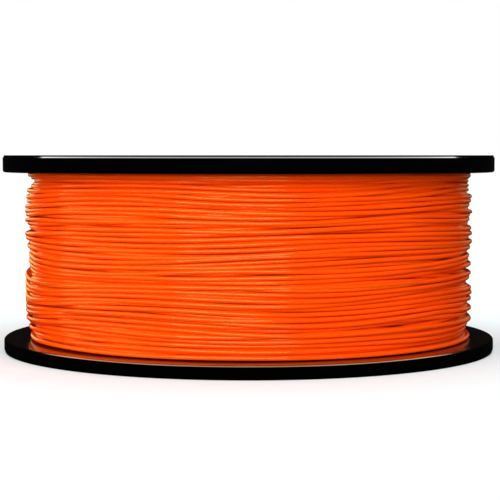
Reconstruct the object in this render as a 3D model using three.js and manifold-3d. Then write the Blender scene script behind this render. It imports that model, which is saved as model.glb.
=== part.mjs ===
// A full 1 kg spool of 1.75 mm filament, lying flat on its lower flange.
// Frame: millimetres, +Z up along the spool's axis, origin at the centre of the bottom,
// so that the lower rim stands on z = 0. The front of the spool faces -Y.

import * as THREE from 'three';
import { mergeVertices } from 'three/addons/utils/BufferGeometryUtils.js';
import Module from 'manifold-3d';

const wasm = await Module();
wasm.setup();

// ---- Driving dimensions, millimetres and degrees ----

const FLANGE_RADIUS = 100;
const OVERALL_HEIGHT = 79;
const BORE_RADIUS = 26.5;
const FIT_GAP = 0.3;          // clearance between pieces that touch

const LOWER_RIM_HEIGHT = 5.3; // full height of the ring that runs round the lower flange
const UPPER_RIM_HEIGHT = 6.8;
const RIM_WIDTH = 3.6;
const EDGE_ROUND = 0.9;       // rounding of the rim's outer edges
const WEB_THICKNESS = 2.4;
const RIB_HEIGHT = 2;         // how far ribs and hub rings stand out from the web
const RIB_WIDTH = 1.8;
const RIB_OFFSET = 13;        // degrees from the middle of a spoke to each of its two ribs
const BORE_LIP = 3;
const BORE_CHAMFER = 0.8;

const WINDOW_COUNT = 4;
const WINDOW_INNER = 66.5;
const WINDOW_OUTER = 88;
const WINDOW_HALF_ANGLE = 28;
const WINDOW_CORNER = 5;

const BARREL_RADIUS = 59;
const BARREL_WALL = 2.6;
const SLEEVE_WALL = 2.3;
const SPIGOT_HEIGHT = 3;
const SPIGOT_WALL = 2;
const HUB_RING_INNER = 61.5;
const HUB_RING_WIDTH = 2;

const SCREW_COUNT = 6;
const SCREW_CIRCLE = 52.2;
const SCREW_START = 30;       // degrees, place of the first screw
const SCREW_LENGTH = 12;      // under the head
const SCREW_SHANK = 1.2;
const SCREW_HEAD_RADIUS = 2.9;
const SCREW_HEAD_HEIGHT = 1.8;
const SCREW_PAD_RADIUS = 4.8;
const SCREW_PAD_HEIGHT = 0.4;
const BOSS_RADIUS = 4.4;
const PILOT_DEPTH = 15;

const FILAMENT_RADIUS = 0.875;
const WINDING_END_GAP = 0.8;
const WINDING_MID_RADIUS = 91.2;
const WINDING_END_RADIUS = 88.8;

const SLOT_RADIUS = 93.4;     // the slot near the rim that holds the filament's outer end
const SLOT_WIDTH = 3;
const SLOT_ANGLE = 100;       // degrees, middle of the slot in the upper flange
const SLOT_HALF_ANGLE = 5;

const LABEL_INNER = 31.5;
const LABEL_OUTER = 46;
const LABEL_THICKNESS = 0.4;

const ROUND_STEPS = 56;       // flats round a large turned shape
const SMALL_STEPS = 12;       // flats round a screw or a boss

// ---- Levels worked out from them ----

const UPPER_WEB_INNER = OVERALL_HEIGHT - UPPER_RIM_HEIGHT;
const UPPER_WEB_OUTER = UPPER_WEB_INNER + WEB_THICKNESS;
const CORE_BOTTOM = LOWER_RIM_HEIGHT + FIT_GAP;
const CORE_TOP = UPPER_WEB_INNER - FIT_GAP;
const RIM_INNER = FLANGE_RADIUS - RIM_WIDTH;
const BARREL_INNER = BARREL_RADIUS - BARREL_WALL;
const SLEEVE_OUTER = BORE_RADIUS + SLEEVE_WALL;
const COLLAR_INNER = SLEEVE_OUTER + FIT_GAP;
const START_HOLE_HEIGHT = CORE_BOTTOM + 4.5;
const START_HOLE_ANGLE = 60;

// ---- Small tools ----

const radians = THREE.MathUtils.degToRad;

function polar(radius, degrees, z = 0) {
  const angle = radians(degrees);
  return new THREE.Vector3(radius * Math.cos(angle), radius * Math.sin(angle), z);
}

function onlyPositions(geometry) {
  const bare = new THREE.BufferGeometry();
  bare.setAttribute('position', geometry.getAttribute('position'));
  bare.setIndex(geometry.getIndex());
  return mergeVertices(bare);
}

function toSolid(geometry) {
  const merged = onlyPositions(geometry);
  const mesh = new wasm.Mesh({
    numProp: 3,
    vertProperties: new Float32Array(merged.getAttribute('position').array),
    triVerts: new Uint32Array(merged.getIndex().array),
  });
  return new wasm.Manifold(mesh);
}

function toGeometry(solid) {
  const mesh = solid.getMesh();
  const geometry = new THREE.BufferGeometry();
  geometry.setAttribute('position', new THREE.BufferAttribute(mesh.vertProperties, 3));
  geometry.setIndex(new THREE.BufferAttribute(mesh.triVerts, 1));
  return geometry;
}

// Turns a closed outline of [radius, height] pairs, listed anticlockwise, about the Z axis.
function turned(outline, steps = ROUND_STEPS) {
  const points = outline.map(([radius, height]) => new THREE.Vector2(radius, height));
  const onAxis = outline[0][0] === 0 && outline.at(-1)[0] === 0;
  if (!onAxis) points.push(points[0].clone());
  const geometry = new THREE.LatheGeometry(points, steps);
  geometry.rotateX(Math.PI / 2);
  return geometry;
}

function tube(inner, outer, bottom, top, steps = ROUND_STEPS) {
  return turned([[inner, bottom], [outer, bottom], [outer, top], [inner, top]], steps);
}

function rod(radius, bottom, top, steps = SMALL_STEPS) {
  const geometry = new THREE.CylinderGeometry(radius, radius, top - bottom, steps);
  geometry.rotateX(Math.PI / 2);
  geometry.translate(0, 0, (bottom + top) / 2);
  return geometry;
}

function movedTo(geometry, place) {
  return geometry.translate(place.x, place.y, place.z);
}

function quarterRound(centreRadius, centreHeight, round, fromDegrees, steps = 2) {
  return Array.from({ length: steps + 1 }, (_, i) => {
    const angle = radians(fromDegrees + (90 * i) / steps);
    return [centreRadius + round * Math.cos(angle), centreHeight + round * Math.sin(angle)];
  });
}

// A piece of a ring between two radii and two angles, with rounded corners.
function ringSector(inner, outer, halfAngle, corner) {
  const half = radians(halfAngle);
  const outerTurn = Math.asin(corner / (outer - corner));
  const innerTurn = Math.asin(corner / (inner + corner));
  const cornerAt = (radius, angle) => [radius * Math.cos(angle), radius * Math.sin(angle)];
  const right = half - outerTurn;
  const left = half - innerTurn;
  const quarter = Math.PI / 2;
  const shape = new THREE.Shape();
  shape.absarc(0, 0, outer, -right, right, false);
  shape.absarc(...cornerAt(outer - corner, right), corner, right, half + quarter, false);
  shape.absarc(...cornerAt(inner + corner, left), corner, half + quarter, left + 2 * quarter, false);
  shape.absarc(0, 0, inner, left, -left, true);
  shape.absarc(...cornerAt(inner + corner, -left), corner, -left - 2 * quarter, -half - quarter, false);
  shape.absarc(...cornerAt(outer - corner, -right), corner, -half - quarter, -right, false);
  return shape;
}

// Each arc of the outline becomes the given number of flats.
function extruded(shape, bottom, top, flatsPerArc) {
  const geometry = new THREE.ExtrudeGeometry(shape, {
    depth: top - bottom,
    bevelEnabled: false,
    curveSegments: flatsPerArc / 2,
  });
  geometry.translate(0, 0, bottom);
  return geometry;
}

function tubeAlong(points, radius, steps, sides) {
  const section = new THREE.Shape();
  section.absarc(0, 0, radius, 0, 2 * Math.PI, false);
  return new THREE.ExtrudeGeometry(section, {
    extrudePath: new THREE.CatmullRomCurve3(points),
    steps,
    curveSegments: sides / 2,
  });
}

function screwAngles() {
  return Array.from({ length: SCREW_COUNT }, (_, i) => SCREW_START + (360 * i) / SCREW_COUNT);
}

// ---- Flange, with its outer face down; the two flanges differ only in the height of their rims ----

// The web lies against the core, so every face is set back from the inner one by its own amount.
function flangeLevels(rimHeight) {
  const web = rimHeight - WEB_THICKNESS;
  return { inner: rimHeight, web, rib: web - RIB_HEIGHT, pad: web - SCREW_PAD_HEIGHT };
}

function flangeOutline({ inner, web, rib }) {
  const round = EDGE_ROUND;
  const edge = FLANGE_RADIUS - round;
  return [
    [BORE_RADIUS + BORE_CHAMFER, rib],
    [BORE_RADIUS + BORE_LIP, rib],
    [BORE_RADIUS + BORE_LIP, web],
    [HUB_RING_INNER, web],
    [HUB_RING_INNER, rib],
    [HUB_RING_INNER + HUB_RING_WIDTH, rib],
    [HUB_RING_INNER + HUB_RING_WIDTH, web],
    [RIM_INNER, web],
    [RIM_INNER, 0],
    ...quarterRound(edge, round, round, -90),
    ...quarterRound(edge, inner - round, round, 0),
    [COLLAR_INNER + SPIGOT_WALL, inner],
    [COLLAR_INNER + SPIGOT_WALL, inner + SPIGOT_HEIGHT],
    [COLLAR_INNER, inner + SPIGOT_HEIGHT],
    [COLLAR_INNER, inner],
    [BORE_RADIUS, inner],
    [BORE_RADIUS, rib + BORE_CHAMFER],
  ];
}

function windowCutters({ inner }) {
  return Array.from({ length: WINDOW_COUNT }, (_, i) => {
    const shape = ringSector(WINDOW_INNER, WINDOW_OUTER, WINDOW_HALF_ANGLE, WINDOW_CORNER);
    return extruded(shape, -1, inner + 1, 6).rotateZ((2 * Math.PI * i) / WINDOW_COUNT);
  });
}

function ribs({ inner, rib }) {
  const innerEnd = HUB_RING_INNER + HUB_RING_WIDTH / 2;
  const outerEnd = RIM_INNER + RIM_WIDTH / 2;
  const spokes = Array.from({ length: WINDOW_COUNT }, (_, i) => (360 * (i + 0.5)) / WINDOW_COUNT);
  const angles = spokes.flatMap((middle) => [middle - RIB_OFFSET, middle + RIB_OFFSET]);
  return angles.map((degrees) => {
    const height = inner - WEB_THICKNESS / 2 - rib;
    const geometry = new THREE.BoxGeometry(outerEnd - innerEnd, RIB_WIDTH, height);
    geometry.translate((innerEnd + outerEnd) / 2, 0, rib + height / 2);
    return geometry.rotateZ(radians(degrees));
  });
}

// Short curved walls between the screw bosses centre the barrel on the flange.
function spigots({ inner }) {
  const outerRadius = BARREL_INNER - FIT_GAP;
  const innerRadius = outerRadius - SPIGOT_WALL;
  const clear = THREE.MathUtils.radToDeg(Math.asin((BOSS_RADIUS + 2) / SCREW_CIRCLE));
  const half = 180 / SCREW_COUNT - clear;
  const corner = 0.4;
  return screwAngles().map((degrees) => {
    const shape = ringSector(innerRadius, outerRadius, half, corner);
    const middle = radians(degrees + 180 / SCREW_COUNT);
    return extruded(shape, inner - 1, inner + SPIGOT_HEIGHT, 4).rotateZ(middle);
  });
}

function flangeSolid(levels) {
  const { inner, pad } = levels;
  const pads = screwAngles().map((degrees) =>
    movedTo(rod(SCREW_PAD_RADIUS, pad, inner - 1, 16), polar(SCREW_CIRCLE, degrees)));
  const screwHoles = screwAngles().map((degrees) =>
    movedTo(rod(SCREW_SHANK + 2 * FIT_GAP, 0, inner + 1), polar(SCREW_CIRCLE, degrees)));
  const slotShape = ringSector(
    SLOT_RADIUS - SLOT_WIDTH / 2, SLOT_RADIUS + SLOT_WIDTH / 2, SLOT_HALF_ANGLE, SLOT_WIDTH / 2.2);
  const slot = extruded(slotShape, 0, inner + 1, 4).rotateZ(radians(180 - SLOT_ANGLE));
  let solid = toSolid(turned(flangeOutline(levels)));
  for (const geometry of [...ribs(levels), ...pads, ...spigots(levels)]) {
    solid = solid.add(toSolid(geometry));
  }
  for (const geometry of [...windowCutters(levels), ...screwHoles, slot]) {
    solid = solid.subtract(toSolid(geometry));
  }
  return solid;
}

// ---- Core: barrel with screw bosses inside, and the sleeve that runs on a spindle ----

function barrelSolid() {
  let solid = toSolid(tube(BARREL_INNER, BARREL_RADIUS, CORE_BOTTOM, CORE_TOP));
  for (const degrees of screwAngles()) {
    const place = polar(SCREW_CIRCLE, degrees);
    solid = solid.add(toSolid(movedTo(rod(BOSS_RADIUS, CORE_BOTTOM, CORE_TOP), place)));
    const pilots = [
      rod(SCREW_SHANK + FIT_GAP, CORE_BOTTOM - 1, CORE_BOTTOM + PILOT_DEPTH),
      rod(SCREW_SHANK + FIT_GAP, CORE_TOP - PILOT_DEPTH, CORE_TOP + 1),
    ];
    for (const pilot of pilots) solid = solid.subtract(toSolid(movedTo(pilot, place)));
  }
  const startHole = rod(FILAMENT_RADIUS + FIT_GAP, BARREL_INNER - 1, BARREL_RADIUS + 1, 8);
  startHole.rotateY(Math.PI / 2);
  startHole.rotateZ(radians(START_HOLE_ANGLE));
  startHole.translate(0, 0, START_HOLE_HEIGHT);
  return solid.subtract(toSolid(startHole));
}

// ---- Screw: pan head down, shank up, with the underside of its head at z = 0 ----

function screwSolid() {
  const dome = SCREW_HEAD_HEIGHT / 2;
  const tip = 1.5;
  const body = turned([
    [0, -SCREW_HEAD_HEIGHT],
    [SCREW_HEAD_RADIUS - dome, -SCREW_HEAD_HEIGHT],
    [SCREW_HEAD_RADIUS, -SCREW_HEAD_HEIGHT + dome],
    [SCREW_HEAD_RADIUS, 0],
    [SCREW_SHANK, 0],
    [SCREW_SHANK, SCREW_LENGTH - tip],
    [0, SCREW_LENGTH],
  ], SMALL_STEPS);
  const slotLength = SCREW_HEAD_RADIUS * 1.2;
  const slotWidth = 0.7;
  const recess = [[slotLength, slotWidth], [slotWidth, slotLength]].map(([length, width]) =>
    new THREE.BoxGeometry(length, width, SCREW_HEAD_HEIGHT).translate(0, 0, -SCREW_HEAD_HEIGHT));
  return recess.reduce((solid, cut) => solid.subtract(toSolid(cut)), toSolid(body));
}

// ---- Filament: the wound ring, its outer end and its inner end ----

function windingGeometry() {
  const bottom = LOWER_RIM_HEIGHT + WINDING_END_GAP;
  const top = UPPER_WEB_INNER - WINDING_END_GAP;
  const rise = WINDING_MID_RADIUS - WINDING_END_RADIUS;
  const steps = 8;
  const swell = Array.from({ length: steps + 1 }, (_, i) => {
    const along = (2 * i) / steps - 1;
    return [WINDING_MID_RADIUS - rise * along ** 4, THREE.MathUtils.lerp(bottom, top, i / steps)];
  });
  const inner = BARREL_RADIUS + FIT_GAP;
  return turned([[inner, bottom], ...swell, [inner, top]]);
}

// Leaves the last turn, climbs through the slot of the upper flange and lies on its web.
function tailGeometry() {
  const low = UPPER_WEB_INNER - 2.6;
  const lying = UPPER_WEB_OUTER + FILAMENT_RADIUS + FIT_GAP;
  const beside = WINDING_MID_RADIUS + FILAMENT_RADIUS + FIT_GAP;
  const points = [
    polar(beside, SLOT_ANGLE - 16, low - 0.6),
    polar(beside, SLOT_ANGLE - 12, low - 0.4),
    polar(beside + 0.3, SLOT_ANGLE - 8, low),
    polar(SLOT_RADIUS, SLOT_ANGLE - 3.4, UPPER_WEB_INNER - 0.5),
    polar(SLOT_RADIUS, SLOT_ANGLE + 0.4, UPPER_WEB_OUTER - 0.9),
    polar(SLOT_RADIUS, SLOT_ANGLE + 4, lying - 0.1),
    polar(SLOT_RADIUS - 0.2, SLOT_ANGLE + 7.5, lying + 0.1),
    polar(SLOT_RADIUS - 0.6, SLOT_ANGLE + 11, lying),
    polar(SLOT_RADIUS - 1.1, SLOT_ANGLE + 14, lying),
  ];
  return tubeAlong(points, FILAMENT_RADIUS, 28, 8);
}

// Passes through the hole in the barrel's wall and is bent over inside.
function startGeometry() {
  const points = [
    polar(BARREL_RADIUS - 0.1, START_HOLE_ANGLE, START_HOLE_HEIGHT),
    polar(BARREL_INNER - 2, START_HOLE_ANGLE, START_HOLE_HEIGHT),
    polar(BARREL_INNER - 7, START_HOLE_ANGLE + 1, START_HOLE_HEIGHT + 1.5),
    polar(BARREL_INNER - 10, START_HOLE_ANGLE + 4, START_HOLE_HEIGHT + 5),
    polar(BARREL_INNER - 11, START_HOLE_ANGLE + 8, START_HOLE_HEIGHT + 10),
  ];
  return tubeAlong(points, FILAMENT_RADIUS, 12, 8);
}

// ---- Materials ----

const BLACK_PLASTIC = { color: 0x060606, roughness: 0.22, metalness: 0 };
const CORE_PLASTIC = { color: 0x0b0b0b, roughness: 0.5, metalness: 0 };
const ORANGE_FILAMENT = { color: 0xff5a0a, roughness: 0.3, metalness: 0 };
const STEEL = { color: 0x8c8f94, roughness: 0.35, metalness: 1 };
const LABEL_PAPER = { color: 0xe9e6df, roughness: 0.75, metalness: 0 };

function piece(name, geometry, look) {
  const mesh = new THREE.Mesh(geometry, new THREE.MeshStandardMaterial(look));
  mesh.name = name;
  return mesh;
}

// ---- Assembly ----

const group = new THREE.Group();

const screwGeometry = toGeometry(screwSolid());

// What one end holds: its flange and the screws that draw it onto the barrel.
function spoolEnd(prefix, rimHeight) {
  const levels = flangeLevels(rimHeight);
  const end = new THREE.Group();
  end.add(piece(`${prefix}_flange`, toGeometry(flangeSolid(levels)), BLACK_PLASTIC));
  screwAngles().forEach((degrees, i) => {
    const screw = piece(`${prefix}_flange_screw_${i + 1}`, screwGeometry.clone(), STEEL);
    screw.position.copy(polar(SCREW_CIRCLE, degrees, levels.pad - FIT_GAP));
    screw.rotation.z = radians(degrees * 1.7);
    end.add(screw);
  });
  return end;
}

const lowerEnd = spoolEnd('lower', LOWER_RIM_HEIGHT);
group.add(lowerEnd);

const upperEnd = spoolEnd('upper', UPPER_RIM_HEIGHT);
upperEnd.rotation.y = Math.PI;
upperEnd.position.z = OVERALL_HEIGHT;
group.add(upperEnd);

group.add(piece('hub_barrel', toGeometry(barrelSolid()), CORE_PLASTIC));
group.add(piece('spindle_sleeve', tube(BORE_RADIUS, SLEEVE_OUTER, CORE_BOTTOM, CORE_TOP, 48), CORE_PLASTIC));

group.add(piece('filament_winding', windingGeometry(), ORANGE_FILAMENT));
group.add(piece('filament_outer_end', tailGeometry(), ORANGE_FILAMENT));
group.add(piece('filament_inner_end', startGeometry(), ORANGE_FILAMENT));

const labelBottom = UPPER_WEB_OUTER + FIT_GAP;
group.add(piece(
  'spool_label',
  tube(LABEL_INNER, LABEL_OUTER, labelBottom, labelBottom + LABEL_THICKNESS, 48),
  LABEL_PAPER,
));

export default group;
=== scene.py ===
"""A full spool of glossy orange 1.75 mm filament with black flanges, lying flat on a pale floor.

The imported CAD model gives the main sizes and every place. The moulded and turned pieces are rebuilt here
with fine rounded edges, and the winding is laid strand by strand on the strands below it.
"""
import math

import bmesh
import bpy
import numpy as np
from mathutils import Matrix, Vector


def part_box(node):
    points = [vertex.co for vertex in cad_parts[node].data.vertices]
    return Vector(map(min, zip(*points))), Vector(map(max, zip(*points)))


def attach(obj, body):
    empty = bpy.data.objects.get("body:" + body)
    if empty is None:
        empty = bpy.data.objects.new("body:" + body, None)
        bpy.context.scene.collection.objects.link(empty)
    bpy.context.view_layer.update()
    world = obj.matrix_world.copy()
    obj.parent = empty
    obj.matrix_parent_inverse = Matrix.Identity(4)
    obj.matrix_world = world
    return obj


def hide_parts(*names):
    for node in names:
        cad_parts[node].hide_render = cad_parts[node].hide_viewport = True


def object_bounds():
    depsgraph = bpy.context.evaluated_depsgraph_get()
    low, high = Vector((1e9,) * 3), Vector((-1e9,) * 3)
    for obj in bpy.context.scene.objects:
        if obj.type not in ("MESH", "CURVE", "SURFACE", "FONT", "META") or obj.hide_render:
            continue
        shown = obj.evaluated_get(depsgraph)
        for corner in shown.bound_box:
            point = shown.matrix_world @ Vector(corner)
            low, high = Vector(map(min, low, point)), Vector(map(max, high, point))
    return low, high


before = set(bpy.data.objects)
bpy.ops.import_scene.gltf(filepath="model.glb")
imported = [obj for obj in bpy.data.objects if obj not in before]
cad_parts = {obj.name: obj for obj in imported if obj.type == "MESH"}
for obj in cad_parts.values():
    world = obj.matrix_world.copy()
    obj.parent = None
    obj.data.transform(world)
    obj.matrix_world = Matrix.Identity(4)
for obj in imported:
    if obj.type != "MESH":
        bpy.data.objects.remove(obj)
cad_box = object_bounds()

MM = 0.001
TAU = 2 * math.pi

# ---- Sizes read from the CAD model, in millimetres ----


def node_box(node):
    low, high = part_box(node)
    return [value / MM for value in low], [value / MM for value in high]


FIT_GAP = 0.3                  # between CAD pieces that touch
FLANGE_RADIUS = node_box("lower_flange")[1][0]
OVERALL_HEIGHT = cad_box[1].z / MM
CORE_BOTTOM, CORE_TOP = [corner[2] for corner in node_box("hub_barrel")]
BARREL_RADIUS = node_box("hub_barrel")[1][0]
SLEEVE_OUTER = node_box("spindle_sleeve")[1][0]
WINDING_RADIUS = node_box("filament_winding")[1][0]
LABEL_OUTER = node_box("spool_label")[1][0]

LOWER_RIM_HEIGHT = CORE_BOTTOM - FIT_GAP
UPPER_WEB_INNER = CORE_TOP + FIT_GAP
UPPER_RIM_HEIGHT = OVERALL_HEIGHT - UPPER_WEB_INNER
SPIGOT_HEIGHT = node_box("lower_flange")[1][2] - LOWER_RIM_HEIGHT

# ---- Sizes that the boxes don't hold, the same as in the CAD model (millimetres and degrees) ----

RIM_WIDTH = 3.6
EDGE_ROUND = 0.9
WEB_THICKNESS = 2.4
RIB_HEIGHT = 2
RIB_WIDTH = 1.8
RIB_OFFSET = 13                # degrees from the middle of a spoke to each of its two ribs
BORE_RADIUS = 26.5
BORE_LIP = 3
WINDOW_COUNT = 4
WINDOW_INNER = 66.5
WINDOW_OUTER = 88
WINDOW_HALF_ANGLE = 28
WINDOW_CORNER = 5
HUB_RING_INNER = 61.5
HUB_RING_WIDTH = 2
SPIGOT_WALL = 2
BARREL_WALL = 2.6
SCREW_COUNT = 6
SCREW_CIRCLE = 52.2
SCREW_START = 30               # angle of the first screw
SCREW_HEAD_RADIUS = 2.9
SCREW_HEAD_HEIGHT = 1.8
SCREW_SHANK = 1.2
SCREW_LENGTH = 12
SCREW_PAD_RADIUS = 4.8
SCREW_PAD_HEIGHT = 0.4
BOSS_RADIUS = 4.4
SLOT_RADIUS = 93.4
SLOT_WIDTH = 3
SLOT_ANGLE = 100               # middle of the slot in the upper flange
SLOT_HALF_ANGLE = 5
LABEL_INNER = 31.5

RIM_INNER = FLANGE_RADIUS - RIM_WIDTH
COLLAR_INNER = SLEEVE_OUTER + FIT_GAP
UPPER_WEB_OUTER = UPPER_WEB_INNER + WEB_THICKNESS

# ---- Details that the CAD model leaves out ----

EDGE_LIP = 0.58                # height of the lip at the rim's outer edge
EDGE_CHAMFER = 0.42            # between the lip and the rim's side
LIP_ROUND = 0.06
CHAMFER_ROUND = 0.15
SMALL_ROUND = 0.35             # on the flange's other edges
BORE_ROUND = 0.9
RIB_ROUND = 0.5
RIB_STEP = 0.25                # how far the ribs stay below the hub rings
PAD_ROUND = 0.25
SPIGOT_ROUND = 0.6
SPIGOT_CLEARANCE = 2           # from the screw bosses
HOLE_ROUND = 0.4               # on both edges of the windows and the slot
OVERLAP = 0.5                  # of bodies that are joined
OVERSHOOT = 0.6                # of a cutter past the face that it cuts
THREAD_PITCH = 1.06
THREAD_START = 1.4             # below the screw's head
THREAD_CORE = 0.72             # of the shank's radius
SCREW_POINT = 2.2              # length without a thread
SCREW_SPIN = 1.7               # of a screw's cross, for each degree of its place round the hub
RECESS_DEPTH = 1.3
SLEEVE_ROUND = 0.5
LABEL_THICKNESS = 0.3
LABEL_ROUND = 0.08
HAIRLINE = 0.02                # gap that keeps touching faces apart

# ---- Fineness of the rebuilt pieces ----

ROUND_STEPS = 256
SMALL_STEPS = 48               # round a screw or a screw pad
HOLE_STEPS = 32
CORNER_STEPS = 5
SLIVER = 0.003                 # points closer than this are one point

# ---- Filament ----

STRAND = 1.75                  # diameter
STRAND_SIDES = 10
COLUMNS = 240                  # stations round one turn
PITCH = 1.77
LAYER_STEP = 1.5               # between the layers' mean radii
LAYERS_SHOWN = 3
LAYERS_HIDDEN = 2              # laid only to carry the ones that show
PROUD = 0.3                    # how far single turns stand out of their layer
WINDING_SAG = 0.9              # how far the outer layers fall in at their ends
FLANGE_CLEARANCE = 0.05        # between a strand and the flange that it touches
SEED = 20

# How far the turns wander along the spool, and for how many turns a wave of that wandering lasts.
SHARED_WANDER = 1.1            # in step with the turns below
SHARED_WAVES = 4               # in a turn, at most
SHARED_DETUNE = 0.05
SLOW_WANDER = (0.28, 2.6)
MEDIUM_WANDER = (0.14, 0.4)
FAST_WANDER = (0.04, 0.16)
FREE_FROM = 10                 # distance from a flange at which a turn wanders freely
LAYER_INSET = 0.3              # most by which a layer starts or ends short of a flange

# A strand finds its place in small steps towards the groove below it.
SETTLE_STEPS = 14
SETTLE_RATE = 0.11             # of the slope, in each step
STEEPEST = 1.2
NUDGE = 0.06                   # distance over which the slope is taken
STIFFNESS = 4                  # blur of the strand's sideways moves, in columns
LEAD_IN = 18                   # columns in which a turn leaves the last one's place

# The turns against the flanges, which the windows show.
END_STEP = 1.68                # between their radii
END_STAGGER = 0.5              # every other turn lies this much further in
END_SWAY = (0.05, 0.3)
END_DRIFT = (0.12, 0.3)
STREAK_SHIFT = 700             # moves the streaks of one turn away from those of the next


# ---- Meshes ----

def make_mesh(name, points, faces):
    mesh = bpy.data.meshes.new(name)
    mesh.from_pydata([Vector(p) * MM for p in points], [], faces)
    mesh.validate()
    mesh.shade_smooth()
    return mesh


def make_object(name, mesh):
    piece = bpy.data.objects.new(name, mesh)
    bpy.context.scene.collection.objects.link(piece)
    return piece


def finish_piece(piece, material, slot, *nodes):
    """Dresses a rebuilt piece, attaches it to the root body and hides the CAD nodes that it stands for."""
    piece.data.materials.clear()
    piece.data.materials.append(material)
    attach(piece, "root")
    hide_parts(*nodes)
    return piece


def rounded(corners, steps=CORNER_STEPS):
    """A closed outline from (x, y, rounding) corners, each with a round of its own."""
    outline = []
    count = len(corners)
    for i, (x, y, size) in enumerate(corners):
        here = Vector((x, y))
        if size == 0:
            outline.append((x, y))
            continue
        back = (Vector(corners[i - 1][:2]) - here).normalized()
        ahead = (Vector(corners[(i + 1) % count][:2]) - here).normalized()
        half = back.angle(ahead) / 2
        centre = here + (back + ahead).normalized() * (size / math.sin(half))
        first = here + back * (size / math.tan(half)) - centre
        last = here + ahead * (size / math.tan(half)) - centre
        turn = first.angle_signed(last)
        for k in range(steps + 1):
            spoke = Matrix.Rotation(-turn * k / steps, 2) @ first
            outline.append(tuple(centre + spoke))
    return outline


def turned(outline, steps=ROUND_STEPS):
    """Points and faces of a closed (radius, height) outline turned about Z.

    Outline points on the axis become one point each, with triangles round it.
    """
    points = []
    rows = []
    for radius, height in outline:
        if radius < 1e-6:
            rows.append([len(points)] * steps)
            points.append((0, 0, height))
            continue
        rows.append(list(range(len(points), len(points) + steps)))
        for k in range(steps):
            angle = TAU * k / steps
            points.append((radius * math.cos(angle), radius * math.sin(angle), height))
    faces = []
    for i, row in enumerate(rows):
        above = rows[(i + 1) % len(rows)]
        for k in range(steps):
            after = (k + 1) % steps
            face = [row[k], row[after], above[after], above[k]]
            face = list(dict.fromkeys(face))
            if len(face) > 2:
                faces.append(face)
    return points, faces


def stacked(contours):
    """Points and faces of a closed body whose sides join a stack of like contours, lowest first."""
    points = [point for contour in contours for point in contour]
    count = len(contours[0])
    faces = []
    for level in range(len(contours) - 1):
        low = level * count
        high = low + count
        for k in range(count):
            after = (k + 1) % count
            faces.append([low + k, low + after, high + after, high + k])
    last = (len(contours) - 1) * count
    faces.append(list(reversed(range(count))))
    faces.append(list(range(last, last + count)))
    return points, faces


def joined(bodies):
    """Several bodies as one list of points and one of faces."""
    points = []
    faces = []
    for body_points, body_faces in bodies:
        start = len(points)
        points.extend(body_points)
        faces.extend([start + i for i in face] for face in body_faces)
    return points, faces


def placed(body, degrees=0, x=0, y=0, z=0):
    """A body turned about Z and then moved."""
    points, faces = body
    move = Matrix.Translation((x, y, z)) @ Matrix.Rotation(math.radians(degrees), 4, "Z")
    return [tuple(move @ Vector(p)) for p in points], faces


def polar(radius, degrees):
    """X and Y of a point on a circle about the Z axis."""
    angle = math.radians(degrees)
    return radius * math.cos(angle), radius * math.sin(angle)


def arc(centre_x, centre_y, radius, start, end, steps):
    """Points on an arc from one angle to another, in radians."""
    angles = [start + (end - start) * k / steps for k in range(steps + 1)]
    return [(centre_x + radius * math.cos(a), centre_y + radius * math.sin(a)) for a in angles]


def ring_sector(inner, outer, half_angle, corner, grow=0.0, long_steps=36, corner_steps=8):
    """Outline of a piece of a ring with rounded corners, made larger by grow all round."""
    half = math.radians(half_angle)
    right = half - math.asin(corner / (outer - corner))
    left = half - math.asin(corner / (inner + corner))
    size = corner + grow
    quarter = math.pi / 2
    far = outer - corner
    near = inner + corner
    outline = arc(0, 0, outer + grow, -right, right, long_steps)
    outline += arc(*polar(far, math.degrees(right)), size, right, half + quarter, corner_steps)[1:]
    outline += arc(*polar(near, math.degrees(left)), size, half + quarter, left + math.pi, corner_steps)
    outline += arc(0, 0, inner - grow, left, -left, long_steps)[1:]
    outline += arc(*polar(near, -math.degrees(left)), size, -left - math.pi, -half - quarter,
                   corner_steps)[1:]
    outline += arc(*polar(far, -math.degrees(right)), size, -half - quarter, -right, corner_steps)[:-1]
    return outline


def at_height(outline, height):
    return [(x, y, height) for x, y in outline]


def boolean(base, other, operation):
    """The new mesh that an exact boolean makes of two mesh bodies."""
    base_object = make_object("base", base)
    other_object = make_object("other", other)
    modifier = base_object.modifiers.new("boolean", "BOOLEAN")
    modifier.object = other_object
    modifier.operation = operation
    modifier.solver = "EXACT"
    graph = bpy.context.evaluated_depsgraph_get()
    result = bpy.data.meshes.new_from_object(base_object.evaluated_get(graph))
    bpy.data.objects.remove(base_object)
    bpy.data.objects.remove(other_object)
    return result


def without_slivers(mesh):
    """Merges the points that a boolean leaves almost on top of each other."""
    work = bmesh.new()
    work.from_mesh(mesh)
    bmesh.ops.remove_doubles(work, verts=work.verts, dist=SLIVER * MM)
    bmesh.ops.dissolve_degenerate(work, edges=work.edges, dist=SLIVER * MM)
    work.to_mesh(mesh)
    work.free()
    return mesh


def with_even_shading(mesh, sharp_angle=32):
    """Sets corner normals that follow the larger faces, so that flat faces stay flat beside small rounds."""
    mesh = without_slivers(mesh)
    mesh.shade_smooth()
    limit = math.cos(math.radians(sharp_angle))
    least = 1e-12
    normals = np.array([face.normal for face in mesh.polygons])
    weights = np.array([face.area / MM ** 2 for face in mesh.polygons]) ** 2 + least
    around = [[] for _ in mesh.vertices]
    for face in mesh.polygons:
        for corner in face.vertices:
            around[corner].append(face.index)
    corner_normals = []
    for face in mesh.polygons:
        own = normals[face.index]
        for corner in face.vertices:
            near = normals[around[corner]]
            alike = weights[around[corner]] * (near @ own > limit)
            total = alike @ near
            length = np.linalg.norm(total)
            corner_normals.append(total / length if length > 0 else own)
    mesh.normals_split_custom_set(corner_normals)
    return mesh


# ---- Flange, with its outer face down ----

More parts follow.
